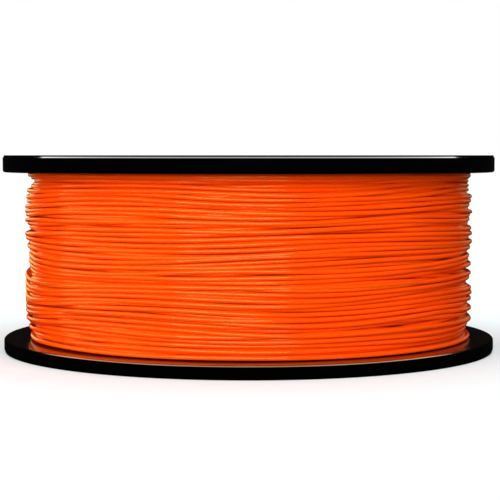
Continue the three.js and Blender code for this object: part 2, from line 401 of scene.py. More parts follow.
class Levels:
    """Heights of a flange's faces above the plane of its rim."""

    def __init__(self, rim_height):
        self.inner = rim_height
        self.web = rim_height - WEB_THICKNESS
        self.rib = self.web - RIB_HEIGHT
        self.pad = self.web - SCREW_PAD_HEIGHT
        self.spigot = rim_height + SPIGOT_HEIGHT


def flange_body(levels):
    """The turned body, as (radius, height, rounding) corners from the bore round to the bore again."""
    ring_outer = HUB_RING_INNER + HUB_RING_WIDTH
    lip = BORE_RADIUS + BORE_LIP
    collar_outer = COLLAR_INNER + SPIGOT_WALL
    corners = [
        (BORE_RADIUS, levels.rib, BORE_ROUND),
        (lip, levels.rib, SMALL_ROUND),
        (lip, levels.web, SMALL_ROUND),
        (HUB_RING_INNER, levels.web, SMALL_ROUND),
        (HUB_RING_INNER, levels.rib, SMALL_ROUND),
        (ring_outer, levels.rib, SMALL_ROUND),
        (ring_outer, levels.web, SMALL_ROUND),
        (RIM_INNER, levels.web, SMALL_ROUND),
        (RIM_INNER, 0, SMALL_ROUND),
        (FLANGE_RADIUS - EDGE_CHAMFER, 0, LIP_ROUND),
        (FLANGE_RADIUS - EDGE_CHAMFER, EDGE_LIP, 0),
        (FLANGE_RADIUS, EDGE_LIP + EDGE_CHAMFER, CHAMFER_ROUND),
        (FLANGE_RADIUS, levels.inner, EDGE_ROUND),
        (collar_outer, levels.inner, 0),
        (collar_outer, levels.spigot, SMALL_ROUND),
        (COLLAR_INNER, levels.spigot, SMALL_ROUND),
        (COLLAR_INNER, levels.inner, 0),
        (BORE_RADIUS, levels.inner, SMALL_ROUND),
    ]
    return turned(rounded(corners))


def rib_body(levels):
    """A straight rib along +X with a rounded free edge, rooted in the hub ring, web and rim."""
    half = RIB_WIDTH / 2
    edge = levels.rib + RIB_STEP
    root = levels.web + WEB_THICKNESS / 2
    section = rounded([(-half, edge, RIB_ROUND), (half, edge, RIB_ROUND), (half, root, 0), (-half, root, 0)])
    ends = [HUB_RING_INNER + HUB_RING_WIDTH / 2, RIM_INNER + RIM_WIDTH / 2]
    return stacked([[(x, y, z) for y, z in section] for x in ends])


def pad_body(levels):
    root = levels.web + WEB_THICKNESS / 2
    profile = rounded([(0, levels.pad, 0), (SCREW_PAD_RADIUS, levels.pad, PAD_ROUND),
                       (SCREW_PAD_RADIUS, root, 0), (0, root, 0)])
    return turned(profile, SMALL_STEPS)


def spigot_body(levels):
    """A low wall that centres the flange in the barrel, between two screw bosses."""
    outer = BARREL_RADIUS - BARREL_WALL - FIT_GAP
    clear = math.degrees(math.asin((BOSS_RADIUS + SPIGOT_CLEARANCE) / SCREW_CIRCLE))
    half_angle = 180 / SCREW_COUNT - clear
    outline = ring_sector(outer - SPIGOT_WALL, outer, half_angle, SPIGOT_ROUND, 0, 12, 4)
    return stacked([at_height(outline, levels.inner - OVERLAP), at_height(outline, levels.spigot)])


def flared_cutter(outline_for, levels, steps=4):
    """Cuts a hole through the web whose edges are rounded at both faces."""
    angles = [math.pi / 2 * k / steps for k in range(steps + 1)]
    flare = [(HOLE_ROUND * (1 - math.cos(a)), HOLE_ROUND * (1 - math.sin(a))) for a in angles]
    rings = [(levels.web - OVERSHOOT, HOLE_ROUND)]
    rings += [(levels.web + depth, grow) for depth, grow in flare]
    rings += [(levels.inner - depth, grow) for depth, grow in reversed(flare)]
    rings.append((levels.inner + OVERSHOOT, HOLE_ROUND))
    return stacked([at_height(outline_for(grow), height) for height, grow in rings])


def window_cutter(levels):
    def outline(grow):
        return ring_sector(WINDOW_INNER, WINDOW_OUTER, WINDOW_HALF_ANGLE, WINDOW_CORNER, grow)
    return flared_cutter(outline, levels)


def slot_cutter(levels):
    half = SLOT_WIDTH / 2
    end_round = half * 0.95

    def outline(grow):
        return ring_sector(SLOT_RADIUS - half, SLOT_RADIUS + half, SLOT_HALF_ANGLE, end_round, grow, 12, 8)
    return flared_cutter(outline, levels)


def hole_cutter(levels):
    last = HOLE_STEPS - 1
    circle = arc(0, 0, SCREW_SHANK + 2 * FIT_GAP, 0, TAU * last / HOLE_STEPS, last)
    return stacked([at_height(circle, 0), at_height(circle, levels.inner + 1)])


def screw_angles():
    return [SCREW_START + 360 * i / SCREW_COUNT for i in range(SCREW_COUNT)]


def flange_mesh(levels):
    spokes = [360 * (i + 0.5) / WINDOW_COUNT for i in range(WINDOW_COUNT)]
    added = [placed(rib_body(levels), spoke + side * RIB_OFFSET) for spoke in spokes for side in (-1, 1)]
    added += [placed(pad_body(levels), 0, *polar(SCREW_CIRCLE, angle)) for angle in screw_angles()]
    added += [placed(spigot_body(levels), angle + 180 / SCREW_COUNT) for angle in screw_angles()]
    cut = [placed(window_cutter(levels), 360 * i / WINDOW_COUNT) for i in range(WINDOW_COUNT)]
    cut += [placed(hole_cutter(levels), 0, *polar(SCREW_CIRCLE, angle)) for angle in screw_angles()]
    cut.append(placed(slot_cutter(levels), 180 - SLOT_ANGLE))
    mesh = make_mesh("flange", *flange_body(levels))
    mesh = boolean(mesh, make_mesh("added", *joined(added)), "UNION")
    mesh = boolean(mesh, make_mesh("cut", *joined(cut)), "DIFFERENCE")
    return with_even_shading(mesh)


def upside_down():
    """Takes a piece of the lower end to its place at the upper end."""
    return Matrix.Translation((0, 0, OVERALL_HEIGHT * MM)) @ Matrix.Rotation(math.pi, 4, "Y")


def build_flanges(material):
    lower = make_object("flange_lower_moulding", flange_mesh(Levels(LOWER_RIM_HEIGHT)))
    upper = make_object("flange_upper_moulding", flange_mesh(Levels(UPPER_RIM_HEIGHT)))
    upper.data.transform(upside_down())
    finish_piece(lower, material, "flange_plastic", "lower_flange")
    finish_piece(upper, material, "flange_plastic", "upper_flange")
    return [lower, upper]


# ---- Screws: pan head down, shank up, with the underside of the head at z = 0 ----

def screw_body():
    head = SCREW_HEAD_RADIUS
    core = SCREW_SHANK * THREAD_CORE
    corners = [(0, -SCREW_HEAD_HEIGHT, 0), (head, -SCREW_HEAD_HEIGHT, 1.1), (head, 0, 0.2),
               (SCREW_SHANK, 0, 0.1)]
    z = THREAD_START
    while z < SCREW_LENGTH - SCREW_POINT:
        corners += [(core, z, 0.05), (core, z + 0.5, 0.05), (SCREW_SHANK, z + 0.75, 0.04)]
        z += THREAD_PITCH
    corners += [(core, z, 0), (0, SCREW_LENGTH, 0)]
    return turned(rounded(corners, 4), SMALL_STEPS)


def cross_outline(length, width):
    """Outline of a cross recess, with arms of the given length and width."""
    tip = length / 2
    side = width / 2
    quarter = [(tip, -side), (tip, side), (side, side)]
    outline = []
    for turn in range(4):
        spin = Matrix.Rotation(math.radians(90 * turn), 2)
        outline += [tuple(spin @ Vector(p)) for p in quarter]
    return outline


def recess_cutter():
    """A cross that tapers into the head."""
    surface = -SCREW_HEAD_HEIGHT
    wide = cross_outline(3.5, 0.78)
    narrow = cross_outline(1.5, 0.5)
    return stacked([at_height(wide, surface - OVERSHOOT), at_height(wide, surface),
                    at_height(narrow, surface + RECESS_DEPTH)])


def screw_mesh():
    mesh = boolean(make_mesh("screw", *screw_body()), make_mesh("recess", *recess_cutter()), "DIFFERENCE")
    return with_even_shading(mesh, 40)


def build_screws(material):
    """One screw for each boss at each end, each turned by a different angle."""
    mesh = screw_mesh()
    screws = []
    ends = [("lower", Levels(LOWER_RIM_HEIGHT), Matrix.Identity(4)),
            ("upper", Levels(UPPER_RIM_HEIGHT), upside_down())]
    for end, levels, flip in ends:
        for i, degrees in enumerate(screw_angles()):
            x, y = polar(SCREW_CIRCLE, degrees)
            place = Matrix.Translation(Vector((x, y, levels.pad - HAIRLINE)) * MM)
            spin = Matrix.Rotation(math.radians(degrees * SCREW_SPIN), 4, "Z")
            screw = make_object(f"{end}_screw_{i + 1}", mesh.copy())
            screw.data.transform(flip @ place @ spin)
            screws.append(finish_piece(screw, material, "screw_steel", f"{end}_flange_screw_{i + 1}"))
    return screws


# ---- Spindle sleeve and label ----

def ring_mesh(name, inner, outer, bottom, top, edge):
    corners = [(inner, bottom, edge), (outer, bottom, edge), (outer, top, edge), (inner, top, edge)]
    return with_even_shading(make_mesh(name, *turned(rounded(corners))))


def build_sleeve(material):
    mesh = ring_mesh("sleeve", BORE_RADIUS, SLEEVE_OUTER, CORE_BOTTOM, CORE_TOP, SLEEVE_ROUND)
    finish_piece(make_object("spindle_tube", mesh), material, "core_plastic", "spindle_sleeve")


def build_label(material):
    lying = UPPER_WEB_OUTER + HAIRLINE
    mesh = ring_mesh("label", LABEL_INNER, LABEL_OUTER, lying, lying + LABEL_THICKNESS, LABEL_ROUND)
    finish_piece(make_object("paper_label", mesh), material, "label_paper", "spool_label")


# ---- Winding ----

class Wander:
    """A smooth random function of the winding angle, in millimetres."""

    def __init__(self, rng, amplitude, rates):
        self.rates = rates
        self.phases = rng.uniform(0, TAU, len(rates))
        self.scale = amplitude / math.sqrt(len(rates) / 2)

    def __call__(self, angle):
        waves = np.sin(angle[:, None] * self.rates + self.phases)
        return waves.sum(axis=1) * self.scale


def free_wander(rng, amplitude, turns, waves=9):
    """Wandering in waves of about the given length in turns."""
    return Wander(rng, amplitude, 1 / (turns * rng.uniform(0.6, 1.6, waves)))


def shared_wander(rng, waves=9):
    """Wandering in nearly whole numbers of waves in a turn, so that each turn runs almost as the last did."""
    rates = rng.integers(1, SHARED_WAVES + 1, waves) + rng.uniform(-SHARED_DETUNE, SHARED_DETUNE, waves)
    return Wander(rng, SHARED_WANDER, rates)


def blurred(values, lead, width):
    """Gaussian blur along a turn that carries on from the values in lead."""
    reach = int(width * 3)
    kernel = np.exp(-0.5 * (np.arange(-reach, reach + 1) / width) ** 2)
    kernel /= kernel.sum()
    tail = np.full(reach, values[-1])
    return np.convolve(np.concatenate([lead[-reach:], values, tail]), kernel, "valid")


def resting_radius(z, below_z, below_r, floor):
    """Radius at which a strand at z rests on the strands already laid, at every column."""
    reach = STRAND ** 2 - (z - below_z) ** 2
    height = np.where(reach > 0, below_r + np.sqrt(np.maximum(reach, 0)), floor)
    return height.max(axis=0)


def lay_turn(guide, lead_z, lead_r, lead_guide, below_z, below_r, floor, ends):
    """Lets one turn slide from its guide towards the groove below it, starting where the last one ended."""
    low, high = ends
    drift = np.zeros_like(guide)
    lead_drift = lead_z - lead_guide
    for _ in range(SETTLE_STEPS):
        z = np.clip(guide + drift, low, high)
        up = resting_radius(z + NUDGE, below_z, below_r, floor)
        down = resting_radius(z - NUDGE, below_z, below_r, floor)
        slope = np.clip((up - down) / (2 * NUDGE), -STEEPEST, STEEPEST)
        drift = blurred(drift - SETTLE_RATE * slope, lead_drift, STIFFNESS)
    z = np.clip(guide + drift, low, high)
    fade = np.clip(1 - np.arange(COLUMNS) / LEAD_IN, 0, 1)
    fade = fade * fade * (3 - 2 * fade)
    z = z + (lead_z[-1] - z[0]) * fade
    r = resting_radius(z, below_z, below_r, floor)
    r = np.maximum(blurred(r, lead_r, 3), blurred(r, lead_r, 1.2) - 0.08)
    return z, r + (lead_r[-1] - r[0]) * fade


def wind_layers():
    """Every turn as (layer, z by column, radius by column, guide), in the order it is wound.

    The first and last turns of each layer run along the flanges, and the rest advance by the pitch.
    """
    rng = np.random.default_rng(SEED)
    theta = TAU * np.arange(COLUMNS) / COLUMNS
    low = LOWER_RIM_HEIGHT + STRAND / 2 + FLANGE_CLEARANCE
    high = UPPER_WEB_INNER - STRAND / 2 - FLANGE_CLEARANCE
    floor = 0.0
    per_layer = int((high - low) / PITCH)
    near_layers = 3
    turns = []
    for k in range(per_layer + 1):
        z = low + PITCH * (k + theta / TAU)
        turns.append((0, np.clip(z, low, high), np.zeros(COLUMNS), z))
    shared = shared_wander(rng)
    slow = free_wander(rng, *SLOW_WANDER)
    medium = free_wander(rng, *MEDIUM_WANDER)
    fast = free_wander(rng, *FAST_WANDER)
    angle_now = 0.0
    for layer in range(1, LAYERS_HIDDEN + LAYERS_SHOWN):
        rising = layer % 2 == 0
        inset = rng.uniform(0, LAYER_INSET, 2) if layer > 1 else (0, 0)
        start = low + inset[0] if rising else high - inset[0]
        finish = high - inset[1] if rising else low + inset[1]
        count = int(round(abs(finish - start) / PITCH)) + 2
        for k in range(count):
            along = np.clip((k + theta / TAU - 1) / (count - 2), 0, 1)
            angle = angle_now + theta
            angle_now += TAU
            guide = start + (finish - start) * along
            freedom = np.clip(np.minimum(guide - low, high - guide) / FREE_FROM, 0.0, 1)
            guide = guide + freedom * (shared(angle) + slow(angle) + medium(angle)) + fast(angle)
            guide = np.clip(guide, low, high)
            recent = turns[-(near_layers * per_layer):]
            below_z = np.array([turn[1] for turn in recent])
            below_r = np.array([turn[2] for turn in recent])
            _, lead_z, lead_r, lead_guide = turns[-1]
            z, r = lay_turn(guide, lead_z, lead_r, lead_guide, below_z, below_r, floor, (low, high))
            turns.append((layer, z, r, guide))
    return turns


def strand_body(path):
    """Points and faces of a round strand along an (n, 3) path that runs round the Z axis."""
    sides = STRAND_SIDES
    ahead = np.gradient(path, axis=0)
    ahead /= np.linalg.norm(ahead, axis=1)[:, None]
    outward = path * (1, 1, 0)
    outward /= np.linalg.norm(outward, axis=1)[:, None]
    outward -= ahead * (outward * ahead).sum(axis=1)[:, None]
    outward /= np.linalg.norm(outward, axis=1)[:, None]
    across = np.cross(ahead, outward)
    turn = TAU * np.arange(sides)[None, :, None] / sides
    ring = np.cos(turn) * outward[:, None, :] + np.sin(turn) * across[:, None, :]
    points = (path[:, None, :] + STRAND / 2 * ring).reshape(-1, 3)
    stations = len(path)
    start = np.arange(stations - 1)[:, None] * sides
    here = start + np.arange(sides)
    beside = start + (np.arange(sides) + 1) % sides
    quads = np.stack([here, beside, beside + sides, here + sides], axis=-1).reshape(-1, 4)
    faces = quads.tolist()
    faces.append(list(reversed(range(sides))))
    faces.append(list(range((stations - 1) * sides, stations * sides)))
    return points, faces


def add_length(mesh, lengths):
    """Stores each point's distance along its strand, for the streaks of the material."""
    values = np.repeat(np.concatenate(lengths), STRAND_SIDES).astype(np.float32) * MM
    attribute = mesh.attributes.new("along", "FLOAT", "POINT")
    attribute.data.foreach_set("value", values)


def sag(z):
    """How much the winding falls in towards its ends, at height z."""
    middle = (CORE_BOTTOM + CORE_TOP) / 2
    return WINDING_SAG * np.abs((z - middle) / (CORE_TOP - middle)) ** 4


def mean_by_height(z, r, bands=13):
    """The mean radius of a layer near each height."""
    edges = np.linspace(z.min(), z.max(), bands + 1)
    band = np.clip(np.digitize(z, edges) - 1, 0, bands - 1)
    means = [r[band == k].mean() for k in range(bands)]
    return np.interp(z, (edges[:-1] + edges[1:]) / 2, means)


def pressed_in(height):
    """Squeezes what stands out of a layer, as the winding's tension does."""
    untouched = 0.5 * PROUD
    squeezed = untouched + PROUD * np.tanh((height - untouched) / PROUD)
    return np.where(height > untouched, squeezed, height)


def tail_path(radius, z):
    """From the end of the last turn, off the winding, up through the slot and along the web."""
    lying = UPPER_WEB_OUTER + STRAND / 2 + FLANGE_CLEARANCE
    stops = [
        (0, radius, z),
        (35, radius + 0.3, z - 0.1),
        (66, radius + 0.6, z - 0.15),
        (SLOT_ANGLE - 20, SLOT_RADIUS - 4.4, z - 0.1),
        (SLOT_ANGLE - 9, SLOT_RADIUS - 1.2, UPPER_WEB_INNER - 1.1),
        (SLOT_ANGLE - 3.4, SLOT_RADIUS, UPPER_WEB_INNER - 0.3),
        (SLOT_ANGLE + 0.4, SLOT_RADIUS, UPPER_WEB_OUTER - 0.9),
        (SLOT_ANGLE + 4, SLOT_RADIUS, lying),
        (SLOT_ANGLE + 7.5, SLOT_RADIUS - 0.2, lying + 0.15),
        (SLOT_ANGLE + 11, SLOT_RADIUS - 0.6, lying),
        (SLOT_ANGLE + 14, SLOT_RADIUS - 1.1, lying),
    ]
    return smooth_path([(*polar(r, degrees), height) for degrees, r, height in stops], 12)


def smooth_path(points, steps):
    """A Catmull-Rom curve through the points, without its first one."""
    points = [np.array(p) for p in points]
    ends = [2 * points[0] - points[1]] + points + [2 * points[-1] - points[-2]]
    path = []
    for before, here, there, after in zip(ends, ends[1:], ends[2:], ends[3:]):
        for k in range(1, steps + 1):
            t = k / steps
            path.append(0.5 * (2 * here + (there - before) * t
                               + (2 * before - 5 * here + 4 * there - after) * t ** 2
                               + (3 * here - before - 3 * there + after) * t ** 3))
    return np.array(path)


def path_lengths(path):
    """Distance along the path at each of its points."""
    steps = np.linalg.norm(np.diff(path, axis=0), axis=1)
    return np.concatenate([[0], np.cumsum(steps)])


def build_layers(material):
    """The outer layers, turn by turn; the last one runs on into the filament's outer end."""
    turns = wind_layers()
    top_layer = LAYERS_HIDDEN + LAYERS_SHOWN - 1
    pieces = []
    for layer in range(LAYERS_HIDDEN, top_layer + 1):
        z = np.concatenate([turn[1] for turn in turns if turn[0] == layer])
        r = np.concatenate([turn[2] for turn in turns if turn[0] == layer])
        mean = WINDING_RADIUS - STRAND / 2 - PROUD - LAYER_STEP * (top_layer - layer)
        r = mean - sag(z) + pressed_in(r - mean_by_height(z, r))
        angle = TAU * np.arange(len(z)) / COLUMNS
        path = np.stack([r * np.cos(angle), r * np.sin(angle), z], axis=1)
        nodes = ["filament_winding"]
        if layer == top_layer:
            path = np.concatenate([path, tail_path(r[-1], z[-1])])
            nodes.append("filament_outer_end")
        mesh = make_mesh(f"filament_layer_{layer}", *strand_body(path))
        add_length(mesh, [path_lengths(path)])
        piece = make_object(f"filament_layer_{layer}", mesh)
        pieces.append(finish_piece(piece, material, "filament", *nodes))
    return pieces


def build_end_turns(material):
    """The turns that lie against the flanges below the outer layers, as the windows show them."""
    rng = np.random.default_rng(SEED + 1)
    angle = TAU * np.arange(COLUMNS) / COLUMNS
    depth = STRAND * (LAYERS_SHOWN - 0.2)
    last = WINDING_RADIUS - WINDING_SAG - depth - END_STEP
    count = int((last - BARREL_RADIUS - STRAND / 2) / END_STEP) + 1
    for name, face, inward in (("lower", LOWER_RIM_HEIGHT, 1), ("upper", UPPER_WEB_INNER, -1)):
        bodies = []
        lengths = []
        for k in range(count):
            drift = free_wander(rng, *END_DRIFT)
            sway = free_wander(rng, *END_SWAY)
            fading = np.minimum(angle, TAU - angle) / TAU * 2
            r = last - k * END_STEP + sway(angle) * fading
            lift = STRAND / 2 + 0.15 + END_STAGGER * (k % 2) + np.abs(drift(angle)) * fading
            z = face + inward * lift
            path = np.stack([r * np.cos(angle), r * np.sin(angle), z], axis=1)
            path = np.concatenate([path, path[:1]])
            bodies.append(strand_body(path))
            lengths.append(path_lengths(path) + STREAK_SHIFT * k)
        mesh = make_mesh(f"filament_{name}_end_turns", *joined(bodies))
        add_length(mesh, lengths)
        piece = make_object(f"filament_{name}_end_turns", mesh)
        finish_piece(piece, material, "filament", "filament_winding")


def build_inner_turns(material):
    """The hidden turns below all of those, as one ribbed ring."""
    inset = STRAND * 1.1
    bottom = LOWER_RIM_HEIGHT + inset
    top = UPPER_WEB_INNER - inset
    inner = BARREL_RADIUS + 0.05
    outer = WINDING_RADIUS - STRAND * (LAYERS_SHOWN - 0.35)
    rib_height = 0.4
    z = np.linspace(bottom, top, int((top - bottom) / PITCH) * 8)
    rib = np.abs(np.sin(math.pi * (z - bottom) / PITCH)) * rib_height
    r = outer - rib_height + rib - sag(z)
    outline = [(inner, bottom)] + list(zip(r, z)) + [(inner, top)]
    mesh = make_mesh("filament_inner_turns", *turned(outline, ROUND_STEPS // 2))
    piece = make_object("filament_inner_turns", mesh)
    finish_piece(piece, material, "filament", "filament_winding")


# ---- Materials ----

def new_material(name):
    """A material, its node tree and its shader."""
    material = bpy.data.materials.new(name)
    material.use_nodes = True
    tree = material.node_tree
    return material, tree, tree.nodes["Principled BSDF"]


def set_shader(shader, **values):
    """Sets sockets by name; an underscore in a name stands for a space."""
    for name, value in values.items():
        shader.inputs[name.replace("_", " ")].default_value = value


def feed(tree, socket, value):
    """Links a node's output to a socket, or sets the socket to a number."""
    if isinstance(value, bpy.types.NodeSocket):
        tree.links.new(value, socket)
    else:
        socket.default_value = value


def place_vector(tree):
    """The point's own place on the object, in metres."""
    return tree.nodes.new("ShaderNodeTexCoord").outputs["Object"]


def scaled(tree, vector, scale):
    """The vector times a scale for each axis."""
    node = tree.nodes.new("ShaderNodeMapping")
    tree.links.new(vector, node.inputs["Vector"])
    node.inputs["Scale"].default_value = scale
    return node.outputs["Vector"]


def math_node(tree, operation, first, second=0.0, third=0.0):
    node = tree.nodes.new("ShaderNodeMath")
    node.operation = operation
    for socket, value in zip(node.inputs, (first, second, third)):
        feed(tree, socket, value)
    return node.outputs[0]


def noise(tree, vector, scale, detail, roughness=0.5):
    node = tree.nodes.new("ShaderNodeTexNoise")
    tree.links.new(vector, node.inputs["Vector"])
    node.inputs["Scale"].default_value = scale
    node.inputs["Detail"].default_value = detail
    node.inputs["Roughness"].default_value = roughness
    return node.outputs["Fac"]


def spread(tree, value, low, high, start=0.3, end=0.7):
    """Maps noise between start and end onto low to high."""
    node = tree.nodes.new("ShaderNodeMapRange")
    tree.links.new(value, node.inputs["Value"])
    for name, number in (("From Min", start), ("From Max", end), ("To Min", low), ("To Max", high)):
        node.inputs[name].default_value = number
    return node.outputs["Result"]


def colour_between(tree, value, *stops, steps=False):
    """A colour ramp through (position, colour) stops."""
    node = tree.nodes.new("ShaderNodeValToRGB")
    ramp = node.color_ramp
    ramp.interpolation = "CONSTANT" if steps else "LINEAR"
    while len(ramp.elements) < len(stops):
        ramp.elements.new(0.5)
    for element, (position, colour) in zip(ramp.elements, stops):
        element.position = position
        element.color = (*colour, 1)
    tree.links.new(value, node.inputs["Fac"])
    return node.outputs["Color"]


def add_bump(tree, shader, height, distance, strength):
    node = tree.nodes.new("ShaderNodeBump")
    node.inputs["Distance"].default_value = distance
    node.inputs["Strength"].default_value = strength
    tree.links.new(height, node.inputs["Height"])
    tree.links.new(node.outputs["Normal"], shader.inputs["Normal"])


def z_part(tree, vector):
    """The Z of a vector."""
    node = tree.nodes.new("ShaderNodeSeparateXYZ")
    tree.links.new(vector, node.inputs[0])
    return node.outputs["Z"]


def from_axis(tree, place):
    """Distance of a place from the spool's axis."""
    node = tree.nodes.new("ShaderNodeVectorMath")
    node.operation = "LENGTH"
    tree.links.new(scaled(tree, place, (1, 1, 0)), node.inputs[0])
    return node.outputs["Value"]


def strand_vector(tree):
    """Distance along the strand, distance from the axis and height, so that noise can become streaks."""
    along = tree.nodes.new("ShaderNodeAttribute")
    along.attribute_name = "along"
    place = place_vector(tree)
    vector = tree.nodes.new("ShaderNodeCombineXYZ")
    tree.links.new(along.outputs["Fac"], vector.inputs["X"])
    tree.links.new(from_axis(tree, place), vector.inputs["Y"])
    tree.links.new(z_part(tree, place), vector.inputs["Z"])
    return vector.outputs[0]


def filament_material():
    """Glossy extruded plastic: faint streaks along the strand, slow changes of tone along its length."""
    material, tree, shader = new_material("orange_filament")
    strand = strand_vector(tree)
    tone = noise(tree, scaled(tree, strand, (9, 90, 90)), 1.0, 3)
    streaks = noise(tree, scaled(tree, strand, (60, 2600, 2600)), 1.0, 2)
    tree.links.new(colour_between(tree, tone, (0.3, (0.82, 0.060, 0.0010)), (0.7, (0.88, 0.076, 0.0015))),
                   shader.inputs["Base Color"])
    tree.links.new(spread(tree, streaks, 0.10, 0.17), shader.inputs["Roughness"])
    add_bump(tree, shader, streaks, 0.00002, 0.6)
    set_shader(shader, IOR=1.46, Subsurface_Weight=0.5, Subsurface_Scale=0.0012,
               Subsurface_Radius=(1.0, 0.4, 0.15))
    return material


def outward_part(tree, place):
    """1 where a surface faces straight out of its end of the spool, and -1 where it faces inwards."""
    facing = z_part(tree, tree.nodes.new("ShaderNodeNewGeometry").outputs["Normal"])
    above_middle = math_node(tree, "SUBTRACT", z_part(tree, place), OVERALL_HEIGHT / 2 * MM)
    return math_node(tree, "MULTIPLY", facing, math_node(tree, "SIGN", above_middle))


def black_material():
    """Glossy moulded plastic: slight waviness of the mould and fine scratches, satin on the outer faces."""
    material, tree, shader = new_material("black_flange_plastic")
    place = place_vector(tree)
    grain = noise(tree, place, 1400, 3)
    waviness = noise(tree, place, 70, 2)
    scratches = noise(tree, scaled(tree, place, (900, 90, 500)), 1.0, 4, 0.7)
    worn = math_node(tree, "MULTIPLY", spread(tree, scratches, 0.0, 1.0, 0.62, 0.78),
                     spread(tree, waviness, 0.2, 1.0))
    tree.links.new(colour_between(tree, grain, (0.35, (0.0004, 0.0004, 0.0004)),
                                  (0.75, (0.0010, 0.0010, 0.0011))), shader.inputs["Base Color"])
    outward = outward_part(tree, place)
    satin = math_node(tree, "ADD", spread(tree, outward, 0.0, 0.15, 0.8, 1.0),
                      spread(tree, outward, 0.05, 0.0, -1.0, -0.8))
    polish = math_node(tree, "ADD", satin, spread(tree, waviness, 0.08, 0.12))
    tree.links.new(math_node(tree, "MULTIPLY_ADD", worn, 0.12, polish), shader.inputs["Roughness"])
    tree.links.new(spread(tree, outward, 0.5, 0.3, 0.8, 1.0), shader.inputs["Specular IOR Level"])
    height = math_node(tree, "MULTIPLY_ADD", grain, 0.12, waviness)
    add_bump(tree, shader, height, 0.00003, 0.5)
    set_shader(shader, IOR=1.5)
    return material


def core_material():
    """Satin moulded plastic, with fine drag lines along the spool's axis."""
    material, tree, shader = new_material("black_core_plastic")
    place = place_vector(tree)
    lines = noise(tree, scaled(tree, place, (1500, 1500, 25)), 1.0, 3)
    cloud = noise(tree, place, 60, 2)
    tree.links.new(colour_between(tree, cloud, (0.3, (0.008, 0.008, 0.0085)), (0.7, (0.016, 0.016, 0.0165))),
                   shader.inputs["Base Color"])
    tree.links.new(spread(tree, lines, 0.38, 0.55), shader.inputs["Roughness"])
    add_bump(tree, shader, lines, 0.00004, 0.6)
    set_shader(shader, IOR=1.5)
    return material


def steel_material():
    """Zinc-plated steel: cloudy bluish and yellowish plating over fine tool marks."""
    material, tree, shader = new_material("zinc_plated_steel")
    place = place_vector(tree)
    cloud = noise(tree, place, 420, 3)
    marks = noise(tree, scaled(tree, place, (1, 1, 6)), 3200, 2)
    tree.links.new(colour_between(tree, cloud, (0.3, (0.44, 0.46, 0.50)), (0.55, (0.60, 0.60, 0.60)),
                                  (0.75, (0.66, 0.62, 0.50))), shader.inputs["Base Color"])
    tree.links.new(spread(tree, marks, 0.24, 0.44), shader.inputs["Roughness"])
    add_bump(tree, shader, marks, 0.00003, 0.5)
    set_shader(shader, Metallic=1.0)
    return material


def paper_material():
    """Coated label paper, printed with an orange band and thin ruled rings, and no text."""
    material, tree, shader = new_material("label_paper")
    place = place_vector(tree)
    fibres = noise(tree, place, 2600, 4, 0.65)
    across = spread(tree, from_axis(tree, place), 0.0, 1.0, LABEL_INNER * MM, LABEL_OUTER * MM)
    paper = (0.80, 0.78, 0.73)
    ink = (0.05, 0.05, 0.05)
    band = (0.95, 0.12, 0.01)
    printed = colour_between(tree, across, (0.0, paper), (0.10, ink), (0.13, paper), (0.66, ink),
                             (0.68, paper), (0.72, band), (0.90, paper), (0.93, ink), (0.95, paper),
                             steps=True)
    shades = colour_between(tree, fibres, (0.3, (0.93, 0.92, 0.90)), (0.7, (1, 1, 1)))
    tint = tree.nodes.new("ShaderNodeMix")
    tint.data_type = "RGBA"
    tint.blend_type = "MULTIPLY"
    tint.inputs["Factor"].default_value = 1.0
    tree.links.new(printed, tint.inputs["A"])
    tree.links.new(shades, tint.inputs["B"])
    tree.links.new(tint.outputs["Result"], shader.inputs["Base Color"])
    tree.links.new(spread(tree, fibres, 0.45, 0.62), shader.inputs["Roughness"])
    add_bump(tree, shader, fibres, 0.00002, 0.7)
    set_shader(shader, Specular_IOR_Level=0.4)
    return material


# ---- Camera, floor and light ----

CAMERA_DISTANCE = 6.494 * FLANGE_RADIUS
CAMERA_PITCH = 3.44            # degrees down
CAMERA_SIDE = 0.0055 * FLANGE_RADIUS
CAMERA_LENS = 113.5
SENSOR_WIDTH = 36

FLOOR_SIZE = 4000              # from the middle to each edge
FLOOR_WHITE = 0.98             # as the camera sees it
FLOOR_BOUNCE = 0.3             # as it lights the spool
FLOOR_DARKEST = (0.005, 0.005, 0.005)
FLOOR_TINT = (0.90, 0.985, 0.99)    # cancels the orange light that the filament throws on it
SURROUND_LIGHT = 0.84          # as it lights the spool
SURROUND_GLOSS = 0.005         # as the spool mirrors it
FLOOR_LIGHT = 1.2


def build_camera():
    """The lens is level with the upper flange's outer edge, so that edge is a straight line."""
    data = bpy.data.cameras.new("camera")
    data.lens = CAMERA_LENS
    data.sensor_width = SENSOR_WIDTH
    camera = bpy.data.objects.new("camera", data)
    camera.location = Vector((CAMERA_SIDE, -CAMERA_DISTANCE, OVERALL_HEIGHT)) * MM
    camera.rotation_euler = (math.radians(90 - CAMERA_PITCH), 0, 0)
    bpy.context.scene.collection.objects.link(camera)
    bpy.context.scene.camera = camera


def camera_and_mirror(tree):
    """Whether the camera sees a point straight on, and whether it sees it in a single reflection."""
    rays = tree.nodes.new("ShaderNodeLightPath")
    scattered = math_node(tree, "MINIMUM", rays.outputs["Diffuse Depth"], 1.0)
    mirrored = math_node(tree, "MULTIPLY", rays.outputs["Is Glossy Ray"],
                         math_node(tree, "SUBTRACT", 1.0, scattered))
    return rays.outputs["Is Camera Ray"], mirrored


